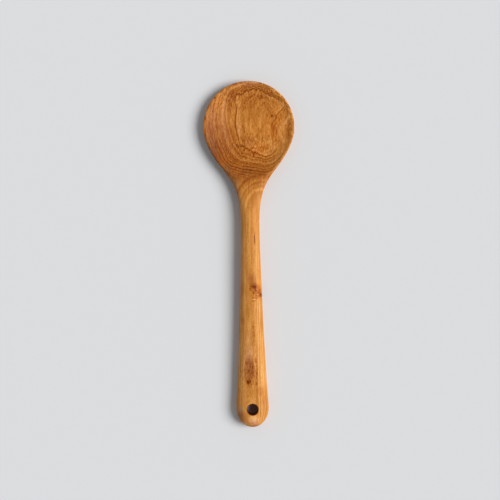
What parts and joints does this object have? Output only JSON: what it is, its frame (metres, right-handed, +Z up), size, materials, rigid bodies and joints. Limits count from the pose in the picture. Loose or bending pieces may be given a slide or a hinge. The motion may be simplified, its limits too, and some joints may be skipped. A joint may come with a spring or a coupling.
{
  "type": "wooden spoon",
  "caption": "One-piece wooden cooking spoon with a round shallow bowl, a slim neck and an oval handle that widens to a rounded end with a hanging hole.",
  "frame": {"origin": "on the table under the middle of the spoon's length and width", "axes": "+Y along the spoon to the tip of its head, +X to the right, +Z up, out of the hollow"},
  "size_m": [0.079, 0.3, 0.0136],
  "materials": {
    "teak": "satin"
  },
  "bodies": {
    "root": {"spoon": "teak"}
  },
  "joints": []
}
